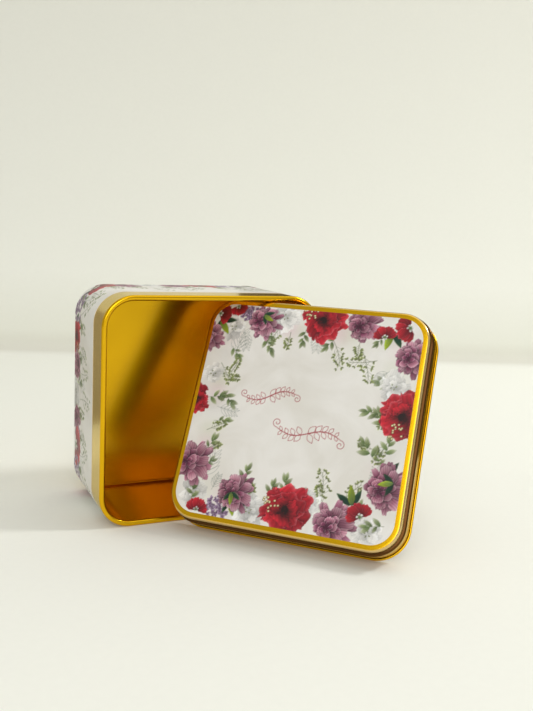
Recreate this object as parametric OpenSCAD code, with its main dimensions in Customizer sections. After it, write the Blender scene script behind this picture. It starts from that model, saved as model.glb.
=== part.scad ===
// Square slip-lid gift tin. The tin lies on one side wall and its lid stands in front of it,
// leaning back into the mouth.
// Millimetres, +Z up. The origin is the middle of the side wall that the tin rests on.
// The mouth opens towards -Y and the base faces +Y.

/* [Tin body] */
// Width of the square body, and its height as it lies
body_w = 100; // [80:1:140]
// Depth from the rim of the mouth to the base
body_d = 54.8; // [44:0.2:90]
// Outer radius of the body's four long corners
corner_r = 13.9; // [10:0.1:20]
// Thickness of the tinplate
sheet = 0.3; // [0.25:0.01:0.4]
// Diameter of the inward curl around the mouth
curl_d = 2.4; // [2:0.1:3]
// How far round the curl's edge is rolled, in degrees
curl_turn = 300; // [200:5:310]
// Radius of the bend where the wall turns in under the base
base_bend_r = 0.8; // [0.6:0.1:1.2]
// Width of the turned-in edge that holds the bottom panel
hem_w = 3.4; // [2.5:0.1:6]
// Width of the lock seam inside the right-hand wall
seam_w = 5; // [3:0.5:8]

/* [Bottom panel] */
// Height of the panel's inner face above the base
panel_rise = 1.6; // [1.4:0.1:3]
// Bend radius around the panel's edge
panel_bend_r = 0.8; // [0.5:0.1:1]
// Gap between the panel's edge and the bend in the wall
panel_gap = 0.05; // [0.02:0.01:0.15]

/* [Prints] */
// Thickness of the printed wrap and label
print_t = 0.15; // [0.1:0.01:0.25]
// Bare neck between the mouth and the wrap
neck_d = 16.3; // [12:0.1:24]
// Gap between the wrap's two ends, over the lock seam
wrap_gap = 0.4; // [0.2:0.1:1]
// Bare border between the lid's edge and its label
label_border = 2.75; // [2:0.05:5]

/* [Lid] */
// Depth of the lid from its face to its rim
lid_d = 15; // [13:0.1:22]
// Clearance between the mouth's curl and the lid's skirt, on each side
lid_fit = 0.6; // [0.3:0.05:1]
// How much tighter the lid's corners are than a skirt that follows the body's corners
corner_ease = 1.3; // [0:0.1:1.5]
// How far the skirt stands out from the upper band
step_out = 1.15; // [1:0.05:1.6]
// Outer radius of the bend around the lid's face
face_bend_r = 1.3; // [1:0.1:2]
// Straight part of the upper band
band_d = 2.6; // [1.5:0.1:4]
// Bend radius where the band turns in to the groove, and where the shoulder turns down
shoulder_r = 0.75; // [0.6:0.05:1]
// Bend radius at the bottom of the groove
groove_r = 0.45; // [0.35:0.05:0.6]
// How steeply the band turns in to the groove, in degrees
groove_angle = 50; // [40:1:60]
// How far the sheet turns out of the groove into the shoulder, in degrees
shoulder_angle = 80; // [70:1:88]
// Outside diameter of the outward curl around the rim
rim_d = 1.15; // [1:0.05:1.5]

/* [Where the lid is] */
// Leaning in the mouth, or pressed on
lid_place = "leaning"; // [leaning, closed]
// How far the lid is turned away from facing straight out of the mouth, in degrees
lid_yaw = 45.5; // [43:0.1:50]
// How far in front of the mouth the lid's near rear corner stands
toe_gap = 0.3; // [0.2:0.1:4]
// Gap between the lid's top edge and the curl that it is tucked under
tuck_gap = 0.5; // [0.2:0.05:1]
// Gap between the lid's rim and the curl in the mouth's corner
rest_gap = 0.4; // [0.2:0.05:1]

/* [Hidden] */
$fn = 64;

// A bend in the sheet is drawn in flats of at most this angle.
facet_angle = 15;

GOLD = "#c9a227";
PRINT = "#d9d4ca";

// The body, in its own upright frame: base at z = 0 and mouth up.
wall_half = body_w / 2 - print_t - sheet / 2;
body_c = body_w / 2 - corner_r;
wall_x = wall_half - body_c;
curl_r = (curl_d - sheet) / 2;
curl_z = body_d - curl_d / 2;
// The wall steps out under the curl, so that the curl is flush with the wrap.
jog_r = 1.5;
jog_angle = acos(1 - print_t / (2 * jog_r));
jog_h = 2 * jog_r * sin(jog_angle);

// The bottom panel, in the same frame. Its edge stands just inside the bend at the base.
panel_x = wall_x - base_bend_r - sheet / 2 - panel_gap;

// The lid, in its own frame: face up at z = 0 and skirt down
skirt_half = body_w / 2 + lid_fit + sheet;
skirt_r = corner_r + lid_fit + sheet - corner_ease;
lid_c = skirt_half - skirt_r;
skirt_x = skirt_r - sheet / 2;
band_x = skirt_x - step_out;
band_half = skirt_half - step_out;
label_half = band_half - label_border;
rim_r = (rim_d - sheet) / 2;
rim_half = skirt_half - sheet / 2 + rim_r;
rim_z = rim_d / 2 - lid_d;
// The two bends out of the groove fall short of the skirt, and a straight run makes it up.
bends_r = shoulder_r + groove_r;
groove_in = bends_r * (1 - cos(groove_angle));
shoulder_run = (step_out + groove_in - bends_r * (1 - cos(shoulder_angle))) / sin(shoulder_angle);
band_end = -face_bend_r - band_d;
groove_z = band_end - bends_r * sin(groove_angle);
shoulder_z = groove_z - bends_r * sin(shoulder_angle) - shoulder_run * cos(shoulder_angle);

// How the lid leans. Its face's top edge is tucked under the curl, which sets the lean.
tuck_up = rim_half + band_half - face_bend_r;
tuck_in = -rim_z - face_bend_r;
tuck_z = body_w - curl_d - tuck_gap - rim_d / 2 - face_bend_r;
lean = atan2(tuck_in, tuck_up) + acos(tuck_z / norm([tuck_up, tuck_in]));
foot_y = -body_d / 2 - (rim_half + rim_d / 2) * sin(lid_yaw) - toe_gap;
// Where the rim's top edge passes between the corners' curls, it rests on the right-hand one.
top_z = rim_d / 2 + 2 * rim_half * cos(lean);
top_run = 2 * rim_half * sin(lean);
curl_y = curl_d / 2 - body_d / 2;
top_u = (foot_y - curl_y + top_run * cos(lid_yaw)) / sin(lid_yaw);
mouth_r = corner_r - curl_d;
mouth_x = body_c + sqrt(pow(mouth_r, 2) - pow(max(0, top_z - body_w / 2 - body_c), 2));
rest_x = mouth_x - (rim_d / 2 + rest_gap) / sin(lid_yaw);
foot_x = rest_x - top_u * cos(lid_yaw) - top_run * sin(lid_yaw);

// Where the closed lid seats: the groove's underside comes down on the curl.
seat_dx = band_half - sheet / 2 - groove_in + groove_r - (body_w / 2 - curl_d / 2);
seat_reach = curl_d / 2 + groove_r + sheet / 2;
seat_gap = 0.05;
seat_z = body_d - curl_d / 2 + sqrt(pow(seat_reach, 2) - pow(seat_dx, 2)) + seat_gap - groove_z;

// A strip of sheet is bent as a press bends it. It is a list of steps: [length] runs straight,
// and [radius, angle] bends the sheet's middle line, to the left where the angle is positive.
// A place along it is [x, z, heading].
function step_end(at, step) =
    len(step) == 1
    ? [at[0] + step[0] * cos(at[2]), at[1] + step[0] * sin(at[2]), at[2]]
    : let(r = sign(step[1]) * step[0], turned = at[2] + step[1])
      [at[0] + r * (sin(turned) - sin(at[2])), at[1] - r * (cos(turned) - cos(at[2])), turned];

function step_places(at, step) =
    len(step) == 1
    ? [step_end(at, step)]
    : let(n = ceil(abs(step[1]) / facet_angle))
      [for (k = [1 : n]) step_end(at, [step[0], step[1] * k / n])];

function strip_places(at, steps, i = 0) =
    i == len(steps) ? []
    : concat(step_places(at, steps[i]), strip_places(step_end(at, steps[i]), steps, i + 1));

function beside(at, gap) = [at[0] - gap * sin(at[2]), at[1] + gap * cos(at[2])];

module bent_strip(at, steps) {
    places = concat([at], strip_places(at, steps));
    last = len(places) - 1;
    polygon(concat(
        [for (p = places) beside(p, sheet / 2)],
        [for (i = [last : -1 : 0]) beside(places[i], -sheet / 2)]));
}

// Carries an outline around a rounded square whose corner centres are c from the middle.
// The outline's x is the distance out from those centres.
module around_square(c) {
    for (k = [0 : 3])
        rotate(90 * k) translate([c, c, 0]) {
            rotate_extrude(angle = 90) children();
            rotate([90, 0, 0]) linear_extrude(2 * c) children();
        }
}

module rounded_square(half, c) {
    square([2 * half, 2 * c], center = true);
    square([2 * c, 2 * half], center = true);
    for (x = [-c, c], y = [-c, c])
        translate([x, y]) circle(half - c);
}

// Lays the upright tin on its side wall, with its mouth to the front.
module lay_down() {
    translate([0, body_d / 2, body_w / 2]) rotate([90, 0, 0]) children();
}

// Stands the lid on its rim in front of the mouth, or presses it on.
module place_lid() {
    if (lid_place == "closed")
        lay_down() translate([0, 0, seat_z]) children();
    else
        translate([foot_x, foot_y, rim_d / 2]) rotate(-lid_yaw) rotate([90 - lean, 0, 0])
            translate([0, rim_half, -rim_z]) children();
}

// One strip of tinplate: turned-in base edge, wall, and the inward curl around the mouth
module body_shell() {
    hem_run = hem_w - base_bend_r;
    wall_run = curl_z - jog_h - sheet / 2 - base_bend_r;
    color(GOLD) lay_down() {
        around_square(body_c)
            bent_strip([wall_x - hem_w, sheet / 2, 0], [
                [hem_run], [base_bend_r, 90], [wall_run],
                [jog_r, -jog_angle], [jog_r, jog_angle], [curl_r, curl_turn]]);
        lock_seam();
    }
}

// The strip's two ends are folded together inside the right-hand wall.
module lock_seam() {
    bottom = panel_rise + sheet;
    top = body_d - curl_d - jog_h;
    fold_t = 2 * sheet;
    translate([wall_half - sheet / 2 - fold_t, -seam_w / 2, bottom])
        cube([fold_t + sheet / 2, seam_w, top - bottom]);
}

// A flat plate with its edge bent down on to the body's turned-in edge
module bottom_panel() {
    skirt_run = panel_rise - sheet / 2 - panel_bend_r - sheet;
    color(GOLD) lay_down() {
        translate([0, 0, panel_rise - sheet])
            linear_extrude(sheet) rounded_square(body_c + panel_x - panel_bend_r, body_c);
        around_square(body_c)
            bent_strip([panel_x - panel_bend_r - sheet, panel_rise - sheet / 2, 0],
                [[sheet], [panel_bend_r, -90], [skirt_run]]);
    }
}

// A printed strip around the wall, from the base bend to the neck
module body_wrap() {
    bottom = base_bend_r + sheet;
    top = body_d - neck_d;
    color(PRINT) lay_down()
        difference() {
            translate([0, 0, bottom]) linear_extrude(top - bottom)
                difference() {
                    rounded_square(body_w / 2, body_c);
                    rounded_square(body_w / 2 - print_t, body_c);
                }
            translate([body_w / 2 - 2 * print_t, -wrap_gap / 2, bottom - 1])
                cube([3 * print_t, wrap_gap, top - bottom + 2]);
        }
}

// One drawn sheet: flat face, upper band, groove, shoulder, skirt and outward rim curl
module lid_shell() {
    skirt_run = shoulder_z - rim_z;
    color(GOLD) place_lid() {
        translate([0, 0, -sheet])
            linear_extrude(sheet) rounded_square(band_half - face_bend_r, lid_c);
        around_square(lid_c)
            bent_strip([band_x + sheet / 2 - face_bend_r - sheet, -sheet / 2, 0], [
                [sheet], [face_bend_r - sheet / 2, -90], [band_d],
                [shoulder_r, -groove_angle], [groove_r, groove_angle],
                [groove_r, shoulder_angle], [shoulder_run], [shoulder_r, -shoulder_angle],
                [skirt_run], [rim_r, 270]]);
    }
}

// A printed square stuck on the lid's face
module lid_label() {
    color(PRINT) place_lid()
        linear_extrude(print_t) rounded_square(label_half, lid_c);
}

body_shell();
bottom_panel();
body_wrap();
lid_shell();
lid_label();
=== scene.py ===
"""A square slip-lid gift tin in gold-lacquered tinplate, with floral vinyl on its wall and lid.

The tin lies on one side wall and its lid leans in the mouth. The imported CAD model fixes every
size and place. The classes below make what shows around it: sheet that is bent, curled and
seamed as a press does it, printed vinyl, and the finish of each.
"""

from __future__ import annotations

import logging
import math
import sys
from dataclasses import dataclass, field
from enum import Enum
from typing import Any, Iterable, Sequence

import bmesh
import bpy
import numpy as np
from mathutils import Matrix, Vector

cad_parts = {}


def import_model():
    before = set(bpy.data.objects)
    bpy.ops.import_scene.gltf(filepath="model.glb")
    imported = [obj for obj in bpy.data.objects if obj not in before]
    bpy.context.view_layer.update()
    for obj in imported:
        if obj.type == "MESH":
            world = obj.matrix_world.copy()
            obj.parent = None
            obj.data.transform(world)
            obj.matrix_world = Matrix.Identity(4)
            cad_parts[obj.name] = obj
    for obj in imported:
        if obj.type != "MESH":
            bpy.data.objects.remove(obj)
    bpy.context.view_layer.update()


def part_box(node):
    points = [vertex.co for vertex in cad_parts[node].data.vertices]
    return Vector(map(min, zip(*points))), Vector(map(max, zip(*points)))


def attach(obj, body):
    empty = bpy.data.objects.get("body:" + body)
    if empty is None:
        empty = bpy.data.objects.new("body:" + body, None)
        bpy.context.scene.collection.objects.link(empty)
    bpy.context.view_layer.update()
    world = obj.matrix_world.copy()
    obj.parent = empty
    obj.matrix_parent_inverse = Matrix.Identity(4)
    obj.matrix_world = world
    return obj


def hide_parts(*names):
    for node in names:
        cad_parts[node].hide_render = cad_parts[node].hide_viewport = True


LOG = logging.getLogger("tin")
MM = 0.001
# the layers that carry a print's colours, and the lengths round and along bent sheet
INK = "Ink"
SHEET_UV = "Sheet"
GOLD = "#E8B40E"
# how much of a flat plate belongs to the strip that is swept round its edge, in mm
PLATE_EDGE = 2.0
Point = tuple[float, float]
Spot = tuple[float, float, float]
Width = float | np.ndarray
# lengths, levels or shares of a height, each with the hex colour that a surface has there
Zones = tuple[tuple[float, str], ...]


def srgb(code: str) -> np.ndarray:
    """An sRGB hex colour as three display values from 0 to 1."""
    return np.array([int(code[i : i + 2], 16) / 255 for i in (1, 3, 5)])


def linear(display: np.ndarray) -> np.ndarray:
    """Display values as linear light."""
    return np.where(display <= 0.04045, display / 12.92, ((display + 0.055) / 1.055) ** 2.4)


def paint_rgba(code: str) -> tuple[float, float, float, float]:
    """An sRGB hex colour as a linear RGBA value for a node socket."""
    return (*linear(srgb(code)), 1.0)


def polar(at: Point, turn: float, reach: float) -> Point:
    """The point that lies some way off in a direction given in radians."""
    return (at[0] + reach * math.cos(turn), at[1] + reach * math.sin(turn))


def toward(turn: float) -> np.ndarray:
    """A step of length one in a direction given in radians."""
    return np.array([math.cos(turn), math.sin(turn)])


# ---------------------------------------------------------------- bent sheet


@dataclass(frozen=True)
class Place:
    """A place along a strip: its outward and upward position in mm, and its heading in degrees."""

    x: float
    z: float
    heading: float

    def beside(self, gap: float) -> Point:
        """The point a gap to the left of the strip's middle line."""
        turn = math.radians(self.heading)
        return (self.x - gap * math.sin(turn), self.z + gap * math.cos(turn))


@dataclass(frozen=True)
class Run:
    """A straight length of sheet, in mm, cut into a number of even parts."""

    length: float
    parts: int = 1

    def places(self, at: Place) -> list[Place]:
        """Follows the sheet on from a place.

        Args:
            at: Where this stretch starts.

        Returns:
            The places after it.
        """
        turn = math.radians(at.heading)
        reach = [self.length * k / self.parts for k in range(1, self.parts + 1)]
        return [Place(at.x + r * math.cos(turn), at.z + r * math.sin(turn), at.heading) for r in reach]


@dataclass(frozen=True)
class Bend:
    """A bend of the sheet's middle line, to the left where its angle is positive."""

    radius: float
    angle: float
    facet: float = 7.5

    def places(self, at: Place) -> list[Place]:
        """Follows the sheet on from a place.

        Args:
            at: Where this stretch starts.

        Returns:
            The places after it.
        """
        side = math.copysign(self.radius, self.angle)
        count = max(2, math.ceil(abs(self.angle) / self.facet))
        start = math.radians(at.heading)
        found = []
        for k in range(1, count + 1):
            heading = at.heading + self.angle * k / count
            turn = math.radians(heading)
            x = at.x + side * (math.sin(turn) - math.sin(start))
            z = at.z - side * (math.cos(turn) - math.cos(start))
            found.append(Place(x, z, heading))
        return found


@dataclass(frozen=True)
class Strip:
    """A strip of sheet seen end on, bent step by step."""

    start: Place
    steps: Sequence[Run | Bend]
    sheet: float

    def middle(self) -> list[Place]:
        """Every place along the strip's middle line.

        Returns:
            The places, from the strip's start.
        """
        places = [self.start]
        for step in self.steps:
            places += step.places(places[-1])
        return places

    def outline(self) -> np.ndarray:
        """The strip's outline: up its left face and back down its right one.

        Returns:
            Points out and up, in mm.
        """
        places = self.middle()
        left = [p.beside(self.sheet / 2) for p in places]
        right = [p.beside(-self.sheet / 2) for p in reversed(places)]
        return np.array(left + right)


@dataclass(frozen=True)
class SquarePath:
    """A way round a rounded square, whose corners turn about points `corner` mm from the middle."""

    corner: float
    side_parts: int = 24
    corner_parts: int = 16

    def stations(self, radius: float, gap: float = 0.0) -> tuple[np.ndarray, np.ndarray, np.ndarray]:
        """The stations of one turn, from the middle of the +X side.

        Args:
            radius: How far out the path's length is measured, in mm.
            gap: Length left out where the turn ends, in mm. At 0 the path closes on itself.

        Returns:
            The base points, the outward directions, and the length run so far, in mm.
        """
        c = self.corner
        base, out, run = [], [], []
        half_side = np.linspace(gap / 2, c, self.side_parts // 2 + 1)
        for y in half_side[:-1]:
            base.append((c, y))
            out.append(0.0)
            run.append(y)
        length = c
        for k in range(4):
            corner = Matrix.Rotation(math.pi / 2 * k, 2) @ Vector((c, c))
            for j in range(self.corner_parts):
                turn = math.pi / 2 * (k + j / self.corner_parts)
                base.append(tuple(corner))
                out.append(turn)
                run.append(length + radius * math.pi / 2 * j / self.corner_parts)
            length += radius * math.pi / 2
            parts = self.side_parts if k < 3 else self.side_parts // 2
            side = 2 * c if k < 3 else c - gap / 2
            turn = math.pi / 2 * (k + 1)
            ahead = Vector((-math.sin(turn), math.cos(turn)))
            first = Matrix.Rotation(turn, 2) @ Vector((c, -c))
            for j in range(parts + (1 if k == 3 and gap else 0)):
                base.append(tuple(first + ahead * (side * j / parts)))
                out.append(turn)
                run.append(length + side * j / parts)
            length += side
        turns = np.array(out)
        return np.array(base), np.stack([np.cos(turns), np.sin(turns)], 1), np.array(run)


def finish_mesh(
    name: str, verts: np.ndarray, faces: Iterable[Sequence[int]], uvs: np.ndarray, place: Matrix,
    sharp_angle: float = 32.0,
) -> bpy.types.Object:
    """Makes an object from points in mm, with smooth faces and its sheet coordinates.

    Args:
        name: The piece's name.
        verts: Its points, in its own frame, in mm.
        faces: The points of each face.
        uvs: One sheet coordinate for each point, in mm. A plate takes its own x and y instead.
        place: The matrix that puts it in the row frame.
        sharp_angle: Edges that turn by more than this many degrees stay crisp.

    Returns:
        The object, linked to the scene with its place in its mesh.
    """
    mesh = bpy.data.meshes.new(name)
    mesh.from_pydata((verts * MM).tolist(), [], [list(f) for f in faces])
    mesh.transform(place)
    layer = mesh.uv_layers.new(name=SHEET_UV)
    corners = np.zeros(len(mesh.loops), np.int32)
    mesh.loops.foreach_get("vertex_index", corners)
    flat = np.repeat([p.loop_total > 4 for p in mesh.polygons], [p.loop_total for p in mesh.polygons])
    spread = np.where(flat[:, None], verts[corners, :2], uvs[corners])
    layer.data.foreach_set("uv", (spread * MM).astype(np.float32).ravel())
    work = bmesh.new()
    work.from_mesh(mesh)
    bmesh.ops.recalc_face_normals(work, faces=work.faces)
    work.to_mesh(mesh)
    work.free()
    mesh.shade_smooth()
    mesh.set_sharp_from_angle(angle=math.radians(sharp_angle))
    made = bpy.data.objects.new(name, mesh)
    bpy.context.scene.collection.objects.link(made)
    return made


def lengths(outline: np.ndarray) -> np.ndarray:
    """The length run along an outline at each of its points."""
    return np.concatenate([[0], np.cumsum(np.hypot(*np.diff(outline, axis=0).T))])


def sweep(
    name: str, path: SquarePath, outline: np.ndarray, place: Matrix, *,
    ring: bool = True, gap: float = 0.0, radius: float | None = None,
) -> bpy.types.Object:
    """Carries an outline round a rounded square.

    Args:
        name: The piece's name.
        path: The way round.
        outline: Points out from the corners and up, in mm.
        place: The matrix that puts the piece in the row frame.
        ring: True where the outline closes on itself. Otherwise its two ends are filled across.
        gap: Length left out of the turn, in mm, with both ends then filled.
        radius: How far out the length is measured, or None for the outline's furthest point.

    Returns:
        The piece. Its points run along the outline, and then from station to station.
    """
    base, out, run = path.stations(radius or float(outline[:, 0].max()), gap)
    n, k = len(base), len(outline)
    xy = base[:, None, :] + outline[None, :, :1] * out[:, None, :]
    z = np.broadcast_to(outline[None, :, 1], (n, k))
    verts = np.concatenate([xy, z[:, :, None]], 2).reshape(-1, 3)
    uvs = np.stack(np.broadcast_arrays(run[:, None], lengths(outline)[None, :]), 2).reshape(-1, 2)
    turns = n if not gap else n - 1
    steps = k if ring else k - 1
    i, j = np.meshgrid(np.arange(turns), np.arange(steps), indexing="ij")
    i2, j2 = (i + 1) % n, (j + 1) % k
    quads = np.stack([i * k + j, i2 * k + j, i2 * k + j2, i * k + j2], 2).reshape(-1, 4)
    faces: list[Sequence[int]] = quads.tolist()
    if not ring:
        faces += [[s * k for s in range(n)], [s * k + k - 1 for s in range(n)]]
    if gap:
        faces += [list(range(k)), list(range((n - 1) * k, n * k))]
    return finish_mesh(name, verts, faces, uvs, place)


def bands(outline: np.ndarray, outer: slice, zones: Zones) -> Zones:
    """Finds how far along an outline its outer face passes certain levels.

    Args:
        outline: The outline's points, out and up, in mm.
        outer: Which of its points are the outer face.
        zones: Levels in mm, from high to low, each with a colour.

    Returns:
        The same colours, each with its length along the outline in mm.
    """
    level = outline[outer, 1]
    falling = slice(int(np.argmax(level)), int(np.argmin(level)) + 1)
    along = lengths(outline)[outer][falling]
    return tuple((float(np.interp(-z, -level[falling], along)), code) for z, code in zones)


# ---------------------------------------------------------------- finishes


class Graph:
    """A material's node tree, built a node at a time."""

    def __init__(self, name: str) -> None:
        """Starts an empty material with its output and shader.

        Args:
            name: The material's name.
        """
        self.material = bpy.data.materials.new(name)
        self.material.use_nodes = True
        self.tree = self.material.node_tree
        self.tree.nodes.clear()
        self.output = self.add("ShaderNodeOutputMaterial")
        self.shader = self.add("ShaderNodeBsdfPrincipled")
        self.tree.links.new(self.shader.outputs[0], self.output.inputs[0])

    def add(
        self, kind: str, settings: dict[str, Any] | None = None, sockets: dict[str | int, Any] | None = None
    ) -> bpy.types.Node:
        """Adds a node.

        Args:
            kind: The node's Blender type.
            settings: Properties to set on it.
            sockets: Values for its inputs, or output sockets to link to them.

        Returns:
            The node.
        """
        made = self.tree.nodes.new(kind)
        for key, value in (settings or {}).items():
            setattr(made, key, value)
        self.feed(made, sockets or {})
        return made

    def feed(self, node: bpy.types.Node, sockets: dict[str | int, Any]) -> None:
        """Sets or links some of a node's inputs.

        Args:
            node: The node.
            sockets: Values for its inputs, or output sockets to link to them.
        """
        for key, value in sockets.items():
            if isinstance(value, bpy.types.NodeSocket):
                self.tree.links.new(value, node.inputs[key])
            else:
                node.inputs[key].default_value = value

    def ramp(self, factor: bpy.types.NodeSocket, stops: Zones) -> bpy.types.NodeSocket:
        """A colour ramp through the given places and hex colours.

        Args:
            factor: What moves along the ramp.
            stops: Places from 0 to 1, in order, each with a hex colour.

        Returns:
            The colour.
        """
        made = self.add("ShaderNodeValToRGB", None, {"Fac": factor})
        elements = made.color_ramp.elements
        for at, _ in stops[1:-1]:
            elements.new(at)
        elements[0].position, elements[-1].position = stops[0][0], stops[-1][0]
        for element, (_, code) in zip(elements, stops):
            element.color = paint_rgba(code)
        return made.outputs["Color"]


@dataclass(frozen=True)
class GoldLacquer:
    """Tinplate under gold lacquer: rolled steel, tinned, coated with clear amber varnish and baked.

    The tin mirrors the room and the varnish turns it gold, deeper where light bounces twice. The
    varnish is a film of its own, so an edge-on view is paler. Rolling leaves faint lines along the
    sheet, which the varnish softens to a satin sheen, and thin sheet is never quite flat. `zones`
    replaces the colour by length along the profile, in mm: on the lid's edge it holds painted
    reflections and painted shade, and on the body it paints the neck a paler, duller gold.
    """

    name: str
    tone: str = GOLD
    deep: str = "#DCAA0A"
    edge: str = "#FFFCC4"
    roughness: float = 0.24
    roughness_spread: float = 0.012
    # rolling lines are about 0.05 mm apart, which is too fine to show, so they are drawn coarser
    rolling_mm: float = 0.5
    streak_length_mm: float = 25.0
    waviness_mm: float = 30.0
    dent_mm: float = 0.2
    zones: Zones = ()

    def make(self) -> bpy.types.Material:
        """Builds the material.

        Returns:
            The material.
        """
        g = Graph(self.name)
        uv = g.add("ShaderNodeUVMap", {"uv_map": SHEET_UV}).outputs["UV"]
        lines = g.add(
            "ShaderNodeMapping", None,
            {"Vector": uv, "Scale": (1 / (self.streak_length_mm * MM), 1 / (self.rolling_mm * MM), 1.0)},
        ).outputs[0]
        streaks = g.add(
            "ShaderNodeTexNoise", None, {"Vector": lines, "Scale": 1.0, "Detail": 3.0, "Roughness": 0.6}
        ).outputs["Fac"]
        spots = g.add("ShaderNodeTexCoord").outputs["Object"]
        cloud = g.add(
            "ShaderNodeTexNoise", None,
            {"Vector": spots, "Scale": 1 / (self.waviness_mm * MM), "Detail": 1.0},
        ).outputs["Fac"]
        tone = g.ramp(cloud, ((0.3, self.deep), (0.7, self.tone)))
        # where zones are given they replace the gold along the profile; on the lid these are painted
        # reflections and painted shade
        if self.zones:
            # the ramp ends a little past the last zone
            reach = self.zones[-1][0] * 1.01
            along = g.add("ShaderNodeSeparateXYZ", None, {"Vector": uv}).outputs["Y"]
            share = g.add("ShaderNodeMath", {"operation": "DIVIDE"}, {0: along, 1: reach * MM}).outputs[0]
            tone = g.ramp(share, tuple((at / reach, code) for at, code in self.zones))
        rough = g.add(
            "ShaderNodeMapRange", None,
            {"Value": streaks, "From Min": 0.3, "From Max": 0.7,
             "To Min": self.roughness - self.roughness_spread,
             "To Max": self.roughness + self.roughness_spread},
        ).outputs["Result"]
        wave = g.add(
            "ShaderNodeBump", None, {"Height": cloud, "Strength": 0.4, "Distance": self.dent_mm * MM}
        ).outputs[0]
        g.feed(
            g.shader,
            {"Base Color": tone, "Metallic": 1.0, "Roughness": rough, "Normal": wave,
             "Specular Tint": paint_rgba(self.edge),
             "Coat Weight": 0.22, "Coat Roughness": 0.12, "Coat IOR": 1.4},
        )
        return g.material


@dataclass(frozen=True)
class PrintedVinyl:
    """Self-adhesive vinyl, digitally printed and laminated.

    The ink lies flat under a thin film, so the print has one even satin gloss, with the faint
    unevenness of film pressed down by hand.
    """

    name: str
    roughness: float = 0.42
    roughness_spread: float = 0.05
    film_mm: float = 1.6
    film_depth_mm: float = 0.03
    streak_mm: float = 30.0

    def make(self) -> bpy.types.Material:
        """Builds the material.

        Returns:
            The material.
        """
        g = Graph(self.name)
        ink = g.add("ShaderNodeAttribute", {"attribute_name": INK}).outputs["Color"]
        spots = g.add("ShaderNodeTexCoord").outputs["Object"]
        haze = g.add(
            "ShaderNodeTexNoise", None,
            {"Vector": spots, "Scale": 1 / (self.streak_mm * MM), "Detail": 4.0, "Distortion": 1.6},
        ).outputs["Fac"]
        tint = g.ramp(haze, ((0.35, "#F4F3F0"), (0.62, "#FFFFFF")))
        shown = g.add(
            "ShaderNodeMix", {"data_type": "RGBA", "blend_type": "MULTIPLY"},
            {"Factor": 1.0, 6: ink, 7: tint},
        ).outputs[2]
        film = g.add(
            "ShaderNodeTexNoise", None, {"Vector": spots, "Scale": 1 / (self.film_mm * MM), "Detail": 2.0}
        ).outputs["Fac"]
        peel = g.add(
            "ShaderNodeBump", None, {"Height": film, "Strength": 0.12, "Distance": self.film_depth_mm * MM}
        ).outputs[0]
        gloss = g.add(
            "ShaderNodeMapRange", None,
            {"Value": film, "To Min": self.roughness - self.roughness_spread,
             "To Max": self.roughness + self.roughness_spread},
        ).outputs["Result"]
        g.feed(
            g.shader,
            {"Base Color": shown, "Roughness": gloss, "Normal": peel, "IOR": 1.46,
             "Specular IOR Level": 0.35, "Coat Weight": 0.1, "Coat Roughness": 0.2},
        )
        return g.material


@dataclass(frozen=True)
class StudioPaper:
    """Matt seamless paper under and behind the tin: even, pale and free of gloss.

    Painted shade makes it a little darker in its bend, where it turns up, and again high on the wall.
    `rise` is the height in metres that this painted shade is spread over.
    """

    name: str
    tone: str
    # paper fibres are finer than this, and are drawn coarser so that they show
    fibre_mm: float = 3.0
    rise: float = 0.4
    painted_shade: Zones = (
        (0.0, "#FFFFFF"), (0.012, "#E9E7E2"), (0.06, "#F8F8F5"), (0.2, "#FFFFFF"), (0.9, "#ECEBE9"),
    )

    def make(self) -> bpy.types.Material:
        """Builds the material.

        Returns:
            The material.
        """
        g = Graph(self.name)
        spots = g.add("ShaderNodeTexCoord").outputs["Object"]
        fibre = g.add(
            "ShaderNodeTexNoise", None, {"Vector": spots, "Scale": 1 / (self.fibre_mm * MM), "Detail": 3.0}
        ).outputs["Fac"]
        value = g.add(
            "ShaderNodeMapRange", None, {"Value": fibre, "To Min": 0.985, "To Max": 1.015}
        ).outputs["Result"]
        height = g.add("ShaderNodeSeparateXYZ", None, {"Vector": spots}).outputs["Z"]
        share = g.add("ShaderNodeMath", {"operation": "DIVIDE"}, {0: height, 1: self.rise}).outputs[0]
        # painted shade: the paper's tone is darkened in the bend and high on the wall
        lit = g.add(
            "ShaderNodeMix", {"data_type": "RGBA", "blend_type": "MULTIPLY"},
            {"Factor": 1.0, 6: paint_rgba(self.tone), 7: g.ramp(share, self.painted_shade)},
        ).outputs[2]
        tone = g.add("ShaderNodeHueSaturation", None, {"Value": value, "Color": lit})
        g.feed(g.shader, {"Base Color": tone.outputs[0], "Roughness": 0.8, "Specular IOR Level": 0.2})
        return g.material


# ---------------------------------------------------------------- printed flowers


class Ink(Enum):
    """The print's colours."""

    PAPER = "#E9E6E0"
    EDGE = "#F0EEEA"
    RED_DEEP = "#5F0A16"
    RED = "#BE2230"
    RED_LIGHT = "#E0666E"
    HEART = "#24100F"
    WINE = "#4A1C33"
    MAUVE = "#8C4562"
    MAUVE_LIGHT = "#E3BBC6"
    ROSE = "#B57489"
    LILAC_DEEP = "#6E4E74"
    LILAC = "#AF93B2"
    LILAC_LIGHT = "#DACEDB"
    BERRY = "#EEE3B4"
    BERRY_EDGE = "#5C4A28"
    GREEN_DEEP = "#173A2A"
    GREEN = "#5C7344"
    LIME = "#A3B82E"
    OLIVE = "#87925C"
    OLIVE_LIGHT = "#CBD0B4"
    TWIG = "#5D6446"
    GREY = "#8F948C"
    GREY_LIGHT = "#C6C6C2"
    WHITE_PETAL = "#EAE8E4"
    SCROLL = "#A03F45"

    @property
    def rgb(self) -> np.ndarray:
        """The colour as display values."""
        return srgb(self.value)


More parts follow.
